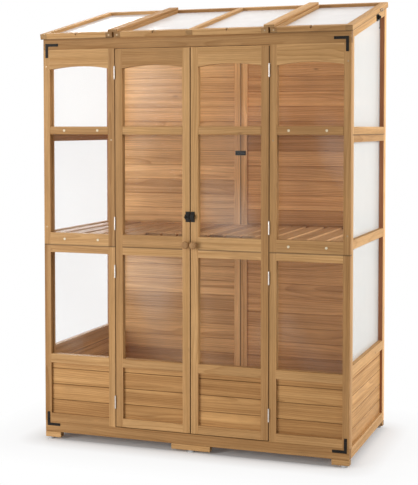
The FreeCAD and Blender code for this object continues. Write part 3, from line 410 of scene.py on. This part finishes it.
# The faces of a node whose middle lies between two distances along a direction take another finish
SECOND = {
    # The right half of the back boards: painted shade
    "back_boards": (SHADED_BOARD, RIGHT, 0.0, math.inf),
    # The right half of the side panes: a painted reflection
    "side_panes": (RIGHT_PANE, RIGHT, 0.0, math.inf),
    "hinge_fixed_leaves": (AGED_ZINC, BACK, 0.0, math.inf),
    "hinge_pins": (AGED_ZINC, BACK, 0.0, math.inf),
}
for side in SIDES:
    SPECIAL |= {
        side + "_front_stiles": FRONT_JOINT,
        side + "_front_rails": FRONT_JOINT,
        side + "_door_rails": FRONT_JOINT,
        side + "_door_stiles": DOOR_JOINT,
        side + "_side_stiles": SIDE_JOINT,
        side + "_side_rails": SIDE_JOINT,
        side + "_vent_frame": VENT_JOINT,
        side + "_vent_fittings": AGED_ZINC,
    }
    SECOND |= {
        # The front-facing inner faces of the rear side stiles take painted shade
        side + "_side_stiles": (SHADED_REVEAL_TIMBER, BACK, *REVEAL_SPAN),
        side + "_vent_fittings": (DULL_SCREW, FRONT, SCREW_LINE, math.inf),
    }
CLEAR = [node for node, slot in slot_of.items() if slot == "clear_pane" and node not in SPECIAL]
KNOBS = [node for node, slot in slot_of.items() if slot == "knob_wood"]


# Copies of the solids, welded stick by stick and grained
def read(items, key, width, kind):
    """One value or one row of values for each item of a mesh."""
    values = np.empty(width * len(items), kind)
    items.foreach_get(key, values)
    return values.reshape(-1, width) if width > 1 else values


def welded(node):
    """Corner points, faces and stick numbers of a node's solids, each welded to itself alone.

    The triangles of one solid follow each other and a closed solid uses every edge twice, so the uses
    of an edge are paired in order, and the lower number is passed across the pairs until none changes.
    """
    mesh = frame["nodes"][node].data
    mesh.calc_loop_triangles()
    points = read(mesh.vertices, "co", 3, np.float64)
    corners = read(mesh.loop_triangles, "vertices", 3, np.int64)
    spots, spot = np.unique(np.round(points / WELD_STEP).astype(np.int64), axis=0, return_inverse=True)
    faces = spot.reshape(-1)[corners]
    ends = np.sort(np.stack([faces, np.roll(faces, -1, axis=1)], axis=2).reshape(-1, 2), axis=1)
    owner = np.repeat(np.arange(len(faces)), 3)
    order = np.argsort(ends[:, 0] * len(spots) + ends[:, 1], kind="stable")
    pairs = owner[order].reshape(-1, 2)
    stick = np.arange(len(faces))
    while True:
        lower = stick[pairs].min(axis=1)
        following = stick.copy()
        np.minimum.at(following, pairs[:, 0], lower)
        np.minimum.at(following, pairs[:, 1], lower)
        following = following[following]
        if np.array_equal(following, stick):
            break
        stick = following
    number = np.unique(stick, return_inverse=True)[1].reshape(-1)
    key = np.repeat(number, 3) * len(spots) + faces.reshape(-1)
    used, index = np.unique(key, return_inverse=True)
    return spots[used % len(spots)] * WELD_STEP, index.reshape(-1, 3), used // len(spots)


def stick_frame(points, stick):
    """Offsets of each point along its stick's own axes, longest first, and those axes.

    A stick's axes are the main directions of its points' spread about the middle of their box.
    """
    count = int(stick.max()) + 1
    low = np.full((count, 3), np.inf)
    high = np.full((count, 3), -np.inf)
    np.minimum.at(low, stick, points)
    np.maximum.at(high, stick, points)
    offset = points - ((low + high) / 2)[stick]
    spread = np.zeros((count, 3, 3))
    np.add.at(spread, stick, offset[:, :, None] * offset[:, None, :])
    axes = np.linalg.eigh(spread)[1][:, :, ::-1]
    return np.einsum("pi,pij->pj", offset, axes[stick]), axes


def stick_reach(local, stick):
    """The furthest a stick's points go from its middle along each of its axes."""
    reach = np.zeros((int(stick.max()) + 1, 3))
    np.maximum.at(reach, stick, np.abs(local))
    return reach[stick]


def grain_fields(local, stick, seed, shade):
    """Grain and tone of each point.

    Grain is the distance along the stick and the two distances across it, moved so that the pith
    lies beside the stick at a random side. Tone is one random level for each stick, moved by its node's
    painted shade and tone.
    """
    count = int(stick.max()) + 1
    chance = np.random.default_rng(seed)
    angle = chance.uniform(0, 2 * np.pi, count)
    reach = chance.uniform(PITH_NEAR, PITH_FAR, count)
    along = chance.uniform(-GRAIN_SHIFT, GRAIN_SHIFT, count)
    shift = np.stack([along, reach * np.cos(angle), reach * np.sin(angle)], axis=1)
    tone = np.clip(chance.normal(TONE_MIDDLE, TONE_SPREAD, count) + shade, 0, 1)
    return local + shift[stick], tone[stick]


def outer_edges(mesh, local, stick):
    """1 for each edge along the outside corners of its stick, where both ends share two extremes."""
    ends = read(mesh.edges, "vertices", 2, np.int64)
    side = np.where(np.abs(local) > stick_reach(local, stick) - ARRIS_DEPTH, np.sign(local), 0)
    shared = (side[ends[:, 0]] == side[ends[:, 1]]) & (side[ends[:, 0]] != 0)
    return (shared.sum(axis=1) >= 2).astype(np.float32)


def put_field(mesh, name, kind, values):
    """Store one number or one vector for each point of a mesh."""
    field = mesh.attributes.new(name, kind, "POINT")
    key = "vector" if kind == "FLOAT_VECTOR" else "value"
    field.data.foreach_set(key, np.ascontiguousarray(values, np.float32).reshape(-1))


def placed(name, mesh, node, material):
    """Show a mesh as the piece that stands for a node."""
    mesh.materials.append(material)
    piece = bpy.data.objects.new(name, mesh)
    bpy.context.scene.collection.objects.link(piece)
    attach(piece, body_of[node])
    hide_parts(node)
    return piece


def join_flat_faces(mesh):
    """Dissolve the edges between faces that lie in one plane."""
    work = bmesh.new()
    work.from_mesh(mesh)
    bmesh.ops.dissolve_limit(work, angle_limit=FLAT_ANGLE, verts=work.verts[:], edges=work.edges[:])
    work.to_mesh(mesh)
    work.free()


def second_finish(mesh, finish, direction, near, far):
    """Give another finish to the faces whose middle lies between two distances along a direction."""
    mesh.materials.append(finish)
    reach = read(mesh.polygons, "center", 3, np.float64) @ np.array(direction)
    chosen = (near < reach) & (reach < far)
    mesh.polygons.foreach_set("material_index", chosen.astype(np.int32))


def soften(piece, local, stick, width):
    """Round the outside edges of a piece's sticks with a live bevel, held to them by edge weights."""
    weight = piece.data.attributes.new("bevel_weight_edge", "FLOAT", "EDGE")
    weight.data.foreach_set("value", outer_edges(piece.data, local, stick))
    soft = piece.modifiers.new("soft edges", "BEVEL")
    soft.width = width
    soft.segments = EDGE_STEPS
    soft.limit_method = "WEIGHT"


def dressed(node, seed):
    """A copy of a node's solids with flat faces joined, grain fields and softly rounded edges.

    The seam field is 1, or the node's own depth, on the points set in from a board's two faces.
    """
    points, faces, stick = welded(node)
    mesh = bpy.data.meshes.new(node + "_dressed")
    mesh.from_pydata(points, [], faces)
    mesh.attributes.new("stick", "INT", "POINT").data.foreach_set("value", stick.astype(np.int32))
    join_flat_faces(mesh)
    stick = read(mesh.attributes["stick"].data, "value", 1, np.int32)
    local, axes = stick_frame(read(mesh.vertices, "co", 3, np.float64), stick)
    grain, tone = grain_fields(local, stick, seed, PAINTED_SHADE_AND_TONE.get(node, 0.0))
    slot = slot_of[node]
    thick = np.abs(local[:, 2]) / stick_reach(local, stick)[:, 2]
    put_field(mesh, "grain", "FLOAT_VECTOR", grain)
    put_field(mesh, "lengthways", "FLOAT_VECTOR", axes[stick][:, :, 0])
    put_field(mesh, "tone", "FLOAT", tone)
    put_field(mesh, "seam", "FLOAT", (thick < FACE_SHARE) * SEAM_DEPTH.get(node, slot == "board_wood"))
    mesh.shade_smooth()
    mesh.set_sharp_from_angle(angle=EDGE_ANGLE)
    piece = placed(node + "_dressed", mesh, node, SPECIAL.get(node, FINISH[slot]))
    if node in SECOND:
        second_finish(mesh, *SECOND[node])
    if slot in EDGE_ROUND:
        soften(piece, local, stick, EDGE_ROUND[slot])
    return piece


def unshaded(pane):
    """Let light pass a pane, which neither casts a shadow nor throws light on."""
    pane.visible_shadow = False
    pane.visible_diffuse = False


for seed, node in enumerate(sorted(slot_of)):
    if node in CLEAR:
        pane = frame["nodes"][node]
        pane.data.materials.clear()
        pane.data.materials.append(ROOF_PANE if node in ROOF_PANES else FINISH["clear_pane"])
        unshaded(pane)
    elif node not in KNOBS:
        piece = dressed(node, seed)
        if slot_of[node] == "clear_pane":
            unshaded(piece)


# Turned door knobs, with places along the knob and radii as shares of its length and its widest radius
KNOB_STEPS = 96
KNOB_TURNS = 64
KNOB_SEED = 100
KNOB_TONE = 0.55
KNOB_PITH = (0.02, 0.04)
FOOT_RADIUS = 0.63
FOOT_END = 0.115
FOOT_FADE = 0.02
WAIST_RADIUS = 0.47
WAIST_SWELL = 0.10
WAIST_START = 0.1
WAIST_RUN = 0.3
WAIST_END = 0.45
HEAD_MIDDLE = 0.654
HEAD_HALF = 0.346


def knob_radius(run):
    """Radius share at each place along the knob: the largest of foot, waist and head.

    The foot is a flange that ends by a square root, the waist narrows by a squared cosine in the
    middle of its run, and the head is a half ellipse.
    """
    foot = FOOT_RADIUS * np.clip((FOOT_END - run) / FOOT_FADE, 0, 1) ** 0.5
    bend = np.cos(np.clip((run - WAIST_START) / WAIST_RUN, 0, 1) * np.pi) ** 2
    waist = np.where(run < WAIST_END, WAIST_RADIUS + WAIST_SWELL * bend, 0)
    head = np.clip(1 - ((run - HEAD_MIDDLE) / HEAD_HALF) ** 2, 0, 1) ** 0.5
    radius = np.maximum(np.maximum(foot, waist), head)
    radius[[0, -1]] = 0.0
    return radius


def turned_knob(node, seed):
    """A knob turned about the Y axis: its radius over the distance from the door, swept round.

    Each point is the middle line's point, moved by the radius times the cosine and sine of the turn.
    The first and last rings are single points, closed by fans of triangles.
    """
    low, high = (np.array(corner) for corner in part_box(node))
    middle = (low + high) / 2
    run = np.linspace(0, 1, KNOB_STEPS)
    radius = knob_radius(run) * (high[0] - low[0]) / 2
    run[1] = run[0]
    turn = np.linspace(0, 2 * np.pi, KNOB_TURNS, endpoint=False)
    grid = np.stack([
        middle[0] + radius[:, None] * np.cos(turn),
        np.repeat(high[1] - run[:, None] * (high[1] - low[1]), KNOB_TURNS, axis=1),
        middle[2] + radius[:, None] * np.sin(turn)], axis=2)
    points = np.concatenate([grid[1:-1].reshape(-1, 3), grid[0, :1], grid[-1, :1]])
    rows = KNOB_STEPS - 2
    step = np.arange(KNOB_TURNS)
    beside = (step + 1) % KNOB_TURNS
    base = (np.arange(rows - 1) * KNOB_TURNS)[:, None]
    quads = np.stack([base + step, base + beside, base + KNOB_TURNS + beside, base + KNOB_TURNS + step],
                     axis=2).reshape(-1, 4)
    last = (rows - 1) * KNOB_TURNS
    foot_tip = np.full(KNOB_TURNS, rows * KNOB_TURNS)
    foot_fan = np.stack([foot_tip, beside, step], axis=1)
    crown_fan = np.stack([foot_tip + 1, last + step, last + beside], axis=1)
    mesh = bpy.data.meshes.new(node + "_turned")
    mesh.from_pydata(points, [], quads.tolist() + foot_fan.tolist() + crown_fan.tolist())
    pith = np.random.default_rng(seed).uniform(*KNOB_PITH, 3)
    put_field(mesh, "grain", "FLOAT_VECTOR", (points - middle)[:, [2, 0, 1]] + pith)
    put_field(mesh, "lengthways", "FLOAT_VECTOR", np.tile(UP, (len(points), 1)))
    put_field(mesh, "tone", "FLOAT", np.full(len(points), KNOB_TONE))
    mesh.shade_smooth()
    mesh.set_sharp_from_angle(angle=EDGE_ANGLE)
    return placed(node + "_turned", mesh, node, FINISH[slot_of[node]])


for seed, node in enumerate(KNOBS):
    turned_knob(node, KNOB_SEED + seed)


# Floor, lights and camera, in metres, watts and degrees, with the lens and its sensor in millimetres
FLOOR_HALF = 30.0
SHADOW_HALF = (0.62, 0.31, 0)
SHADOW_STOPS = [(0.0, 0.05), (0.05, 0.48), (0.14, 0.86), (0.38, 1.0)]
WORLD_STRENGTH = 0.28
# Name, place, point that it faces, size and power of each lamp
LAMPS = [
    ("front_lamp", (-2.7, -4.2, 1.8), (0.0, 0.0, 0.9), 2.2, 92),
    ("low_lamp", (-1.9, -2.4, 0.6), (0.0, 0.0, 0.7), 1.2, 21),
    ("side_lamp", (3.6, 0.3, 2.0), (0.6, 0.1, 0.9), 1.8, 104),
    ("top_lamp", (0.0, -0.15, 3.2), (0.0, 0.1, 0.9), 1.4, 24),
    ("back_lamp", (-3.0, 3.4, 2.2), (0.0, 0.2, 0.9), 2.2, 90),
]
CAMERA_SENSOR = 36.0
CAMERA_LENS = 86.1836
CAMERA_SHIFT = -0.13
CAMERA_PLACE = (1.6167, -4.5842, 1.2871)
CAMERA_DIP = 2.5259
CAMERA_TURN = 19.8356


def seen_share(tree):
    """1 for what the camera, a reflection or a pane shows, and 0 for what only gives light."""
    path = add(tree, "LightPath").outputs
    mirrored = reckon(tree, "MAXIMUM", path["Is Glossy Ray"], path["Is Transmission Ray"])
    return reckon(tree, "MAXIMUM", path["Is Camera Ray"], mirrored)


def studio_floor():
    """A wide pale floor, white to the eye away from the cabinet and matt close to it, for its shadow.

    The white share grows with the distance from a box on the floor under the cabinet.
    """
    corners = np.array([(-1, -1, 0), (1, -1, 0), (1, 1, 0), (-1, 1, 0)]) * FLOOR_HALF
    mesh = bpy.data.meshes.new("studio_floor")
    mesh.from_pydata(corners, [], [(0, 1, 2, 3)])
    floor = bpy.data.objects.new("studio_floor", mesh)
    bpy.context.scene.collection.objects.link(floor)
    material, tree, shader = blank("studio_floor")
    tree.nodes.remove(shader)
    matt = add(tree, "BsdfDiffuse", {"Color": FLOOR_GREY}).outputs[0]
    glow = add(tree, "Emission", {"Color": WHITE, "Strength": 1.0}).outputs[0]
    place = add(tree, "TexCoord").outputs["Object"]
    past = vector(tree, "SUBTRACT", vector(tree, "ABSOLUTE", place), SHADOW_HALF)
    away = vector(tree, "LENGTH", vector(tree, "MAXIMUM", past, (0, 0, 0)))
    share = reckon(tree, "MULTIPLY", seen_share(tree), ramp(tree, away, SHADOW_STOPS))
    both = add(tree, "MixShader", {0: share, 1: matt, 2: glow}).outputs[0]
    tree.links.new(both, tree.nodes["Material Output"].inputs["Surface"])
    mesh.materials.append(material)


def studio_world():
    """Even pale light from all round, and plain white where the camera or a reflection sees it."""
    world = bpy.data.worlds.new("studio_world")
    bpy.context.scene.world = world
    world.use_nodes = True
    tree = world.node_tree
    soft = tree.nodes["Background"]
    soft.inputs["Color"].default_value = WHITE
    soft.inputs["Strength"].default_value = WORLD_STRENGTH
    white = add(tree, "Background", {"Color": WHITE, "Strength": 1.0}).outputs[0]
    both = add(tree, "MixShader", {0: seen_share(tree), 1: soft.outputs[0], 2: white}).outputs[0]
    tree.links.new(both, tree.nodes["World Output"].inputs["Surface"])


def soft_box(name, place, aim, size, power):
    """A square lamp that faces a point."""
    lamp = bpy.data.lights.new(name, "AREA")
    lamp.shape = "SQUARE"
    lamp.size = size
    lamp.energy = power
    holder = bpy.data.objects.new(name, lamp)
    bpy.context.scene.collection.objects.link(holder)
    direction = Vector(aim) - Vector(place)
    holder.rotation_euler = direction.to_track_quat("-Z", "Y").to_euler()
    holder.location = place


def photo_camera():
    """A long lens that looks slightly down, turned to the left, with its frame shifted down."""
    lens = bpy.data.cameras.new("photo_camera")
    lens.sensor_width = CAMERA_SENSOR
    lens.lens = CAMERA_LENS
    lens.shift_y = CAMERA_SHIFT
    camera = bpy.data.objects.new("photo_camera", lens)
    bpy.context.scene.collection.objects.link(camera)
    camera.location = CAMERA_PLACE
    camera.rotation_euler = (math.radians(90 - CAMERA_DIP), 0.0, math.radians(CAMERA_TURN))
    bpy.context.scene.camera = camera


studio_floor()
studio_world()
for lamp in LAMPS:
    soft_box(*lamp)
photo_camera()
bpy.context.scene.view_settings.view_transform = "Standard"
